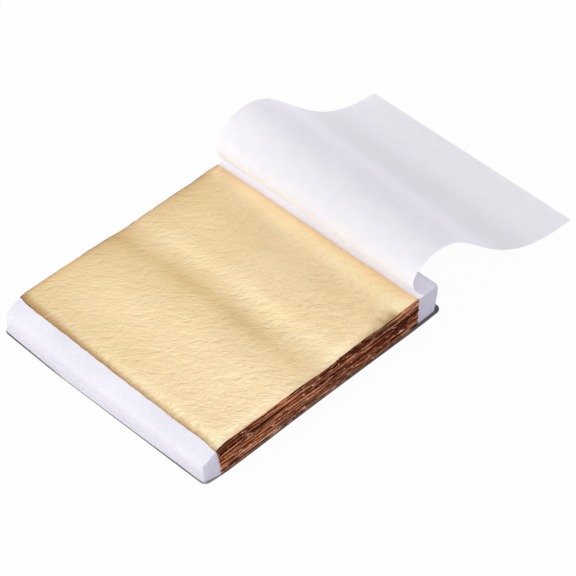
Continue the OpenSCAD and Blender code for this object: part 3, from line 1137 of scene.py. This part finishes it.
class BOOKLET_OT_pages(bpy.types.Operator):
    """Make the tissues that turn one by one, and the leaves that lie on them"""

    bl_idname = "booklet.pages"
    bl_label = "Pages"

    def execute(self, context):
        for number in range(2, LAST_PAGE + 1):
            across = fine_stations(TOP_PAGE_COLUMNS if number == 2 else PAGE_COLUMNS)
            page = tissue_pile(f"page_sheet_{number:02d}", [number], across)
            finish_piece(page, "tissue", [f"tissue_{number:02d}"], f"page_{number:02d}")
        for number in range(1, LAST_PAGE):
            top = number == 1
            columns, rows = TOP_LEAF_GRID if top else LEAF_GRID
            crinkle = context.scene.booklet_sizes.crinkle / MM if top else 0.0
            leaf = leaf_pile(f"page_metal_{number:02d}", [number], fine_stations(columns), rows, crinkle)
            body = "top_leaf" if top else f"page_{number + 1:02d}"
            finish_piece(leaf, "leaf", [f"gold_leaf_{number:02d}"], body)
        return {"FINISHED"}


class BOOKLET_OT_sections(bpy.types.Operator):
    """Make the nine sections of ten tissues, each with the leaves that lie on them"""

    bl_idname = "booklet.sections"
    bl_label = "Sections"

    def execute(self, context):
        for section in range(1, SECTIONS + 1):
            first = LAST_PAGE + 1 + (section - 1) * SECTION
            last, body = first + SECTION - 1, f"section_{section}"
            sheets = tissue_pile(f"sheets_{first}_{last}", range(first, last + 1))
            finish_piece(sheets, "tissue", [f"tissues_{first}_{last}"], body)
            metal = leaf_pile(f"metal_{first - 1}_{last - 1}", range(first - 1, last))
            finish_piece(metal, "leaf", [f"gold_leaves_{first - 1}_{last - 1}"], body)
        return {"FINISHED"}


class BOOKLET_OT_turned_tissue(bpy.types.Operator):
    """Make the top tissue that leans over the leaves, loops back and lies on the table behind"""

    bl_idname = "booklet.turned_tissue"
    bl_label = "Turned Tissue"

    def execute(self, context):
        x, y, z, run, v = turned_points()
        sheet, column, row, _ = grid_pile("turned_sheet", TURNED_COLUMNS, sum(TURNED_ROWS))
        along_y, along_z = np.gradient(y, axis=1), np.gradient(z, axis=1)
        length = np.hypot(along_y, along_z)
        flutter = context.scene.booklet_sizes.flutter / MM
        beside = 2 * HALF_W * v
        wave = noise_at(beside / 21, run / 16, 81) + 0.4 * noise_at(beside / 8, run / 7, 82)
        wave = flutter * wave * smooth_step(run, 0.5, 9) * (1 - smooth_step(run, 66, 80))
        y = y - wave * along_z / length
        z = z + wave * along_y / length
        place_points(sheet, np.stack([x, y, z], -1)[column, row])
        flat_map = sheet.data.uv_layers.active or sheet.data.uv_layers.new()
        flat_map.name = "sheet"
        corners = np.zeros(len(sheet.data.loops), np.int32)
        sheet.data.loops.foreach_get("vertex_index", corners)
        flat_places = np.stack([beside, run], -1)[column, row][corners] * MM
        flat_map.data.foreach_set("uv", flat_places.astype(np.float32).ravel())
        thicken(sheet, TISSUE_T, -1)
        finish_piece(sheet, "top_tissue", ["turned_tissue_loop", "turned_tissue_tail"])
        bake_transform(sheet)
        return {"FINISHED"}


class BOOKLET_PT_panel(bpy.types.Panel):
    """Lists the booklet's settings and steps"""

    bl_idname = "BOOKLET_PT_panel"
    bl_label = "Gold Leaf Booklet"
    bl_space_type = "VIEW_3D"
    bl_region_type = "UI"
    bl_category = "Booklet"

    def draw(self, context):
        layout = self.layout
        for name in GROUPS:
            group, box = getattr(context.scene, name), layout.box()
            for key in group.bl_rna.properties.keys():
                if key not in ("rna_type", "name"):
                    box.prop(group, key)
        for step in STEPS:
            layout.operator(step.bl_idname)


STEPS = (
    BOOKLET_OT_stage,
    BOOKLET_OT_card,
    BOOKLET_OT_glue,
    BOOKLET_OT_strips,
    BOOKLET_OT_pages,
    BOOKLET_OT_sections,
    BOOKLET_OT_turned_tissue,
)
GROUPS = {
    "booklet_finishes": BookletFinishes,
    "booklet_sizes": BookletSizes,
    "booklet_studio": BookletStudio,
}


def register():
    for name, group in GROUPS.items():
        bpy.utils.register_class(group)
        setattr(bpy.types.Scene, name, PointerProperty(type=group))
    for step in (*STEPS, BOOKLET_PT_panel):
        bpy.utils.register_class(step)


def unregister():
    for step in (*STEPS, BOOKLET_PT_panel):
        bpy.utils.unregister_class(step)
    for name, group in GROUPS.items():
        delattr(bpy.types.Scene, name)
        bpy.utils.unregister_class(group)


def main():
    register()
    bpy.ops.booklet.stage()
    bpy.ops.booklet.card()
    bpy.ops.booklet.glue()
    bpy.ops.booklet.strips()
    bpy.ops.booklet.pages()
    bpy.ops.booklet.sections()
    bpy.ops.booklet.turned_tissue()


if __name__ == "__main__":
    main()
